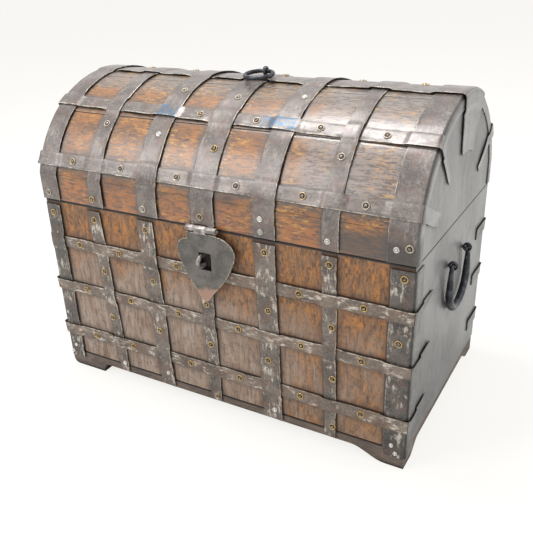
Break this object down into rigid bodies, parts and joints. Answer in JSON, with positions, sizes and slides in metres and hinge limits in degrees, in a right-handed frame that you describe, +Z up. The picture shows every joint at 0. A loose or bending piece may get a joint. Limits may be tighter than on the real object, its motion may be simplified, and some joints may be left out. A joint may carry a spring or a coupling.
{
  "type": "dome top chest",
  "caption": "Small wooden chest with a domed lid, bound with woven iron straps, with a hasp, drop handles and a ring on the lid.",
  "frame": {"origin": "on the floor, under the middle of the box", "axes": "+X to the chest's right as seen from its front, +Y to its back, where the lid's hinges are, +Z up"},
  "size_m": [0.484, 0.2918, 0.3782],
  "materials": {
    "box_wood": "worn, red-brown, satin",
    "lid_wood": "worn, orange-brown, waxed",
    "plinth_wood": "dark, worn",
    "strap_iron": "dark, rubbed bright and rusty at the edges",
    "end_sheet": "dull grey, softly glossy",
    "hinge_iron": "dark",
    "hasp_iron": "worn, with rust at the tip",
    "handle_iron": "dark blue-grey, smooth"
  },
  "bodies": {
    "box": {"back_bottom_hoop": "strap_iron", "back_middle_hoop": "strap_iron", "back_plinth": "plinth_wood", "back_top_hoop": "strap_iron", "box_back_board": "box_wood", "box_bottom_board": "plinth_wood", "box_front_board": "box_wood", "box_left_board": "box_wood", "box_left_hinge_leaf": "hinge_iron", "box_left_sheet": "end_sheet", "box_right_board": "box_wood", "box_right_hinge_leaf": "hinge_iron", "box_right_sheet": "end_sheet", "front_bottom_hoop": "strap_iron", "front_column_strap_1": "strap_iron", "front_column_strap_2": "strap_iron", "front_column_strap_3": "strap_iron", "front_column_strap_4": "strap_iron", "front_column_strap_5": "strap_iron", "front_column_strap_6": "strap_iron", "front_column_strap_7": "strap_iron", "front_middle_hoop": "strap_iron", "front_plinth": "plinth_wood", "front_top_hoop": "strap_iron", "hasp_staple": "hasp_iron", "left_handle_back_eye": "handle_iron", "left_handle_front_eye": "handle_iron", "left_hinge_pin": "hinge_iron", "left_plinth": "plinth_wood", "right_handle_back_eye": "handle_iron", "right_handle_front_eye": "handle_iron", "right_hinge_pin": "hinge_iron", "right_plinth": "plinth_wood"},
    "lid": {"hasp_leaf": "hasp_iron", "hasp_pin": "hasp_iron", "lid_back_board": "lid_wood", "lid_back_strap": "strap_iron", "lid_barrel": "lid_wood", "lid_cross_strap_1": "strap_iron", "lid_cross_strap_2": "strap_iron", "lid_cross_strap_3": "strap_iron", "lid_cross_strap_4": "strap_iron", "lid_cross_strap_5": "strap_iron", "lid_cross_strap_6": "strap_iron", "lid_cross_strap_7": "strap_iron", "lid_front_board": "lid_wood", "lid_front_high_strap": "strap_iron", "lid_front_low_strap": "strap_iron", "lid_left_board": "lid_wood", "lid_left_hinge_leaf": "hinge_iron", "lid_left_sheet": "end_sheet", "lid_ridge_strap": "strap_iron", "lid_right_board": "lid_wood", "lid_right_hinge_leaf": "hinge_iron", "lid_right_sheet": "end_sheet", "ring_eye": "handle_iron"},
    "hasp": {"hasp": "hasp_iron"},
    "left_handle": {"left_handle": "handle_iron"},
    "right_handle": {"right_handle": "handle_iron"},
    "top_ring": {"top_ring": "handle_iron"}
  },
  "joints": [
    {"name": "lid_hinge", "type": "hinge", "parent": "box", "child": "lid", "pos_m": [0, 0.1388, 0.2325], "axis": [-1, 0, 0], "range_deg": [0, 105]},
    {"name": "hasp_hinge", "type": "hinge", "parent": "lid", "child": "hasp", "pos_m": [0, -0.1384, 0.2328], "axis": [-1, 0, 0], "range_deg": [0, 150]},
    {"name": "left_handle_hinge", "type": "hinge", "parent": "box", "child": "left_handle", "pos_m": [-0.2367, 0.004, 0.18914], "axis": [0, 1, 0], "range_deg": [0, 160]},
    {"name": "right_handle_hinge", "type": "hinge", "parent": "box", "child": "right_handle", "pos_m": [0.2367, 0.004, 0.18914], "axis": [0, -1, 0], "range_deg": [0, 160]},
    {"name": "top_ring_hinge", "type": "hinge", "parent": "lid", "child": "top_ring", "pos_m": [0.005, 0, 0.3729], "axis": [-1, 0, 0], "range_deg": [0, 180]}
  ]
}
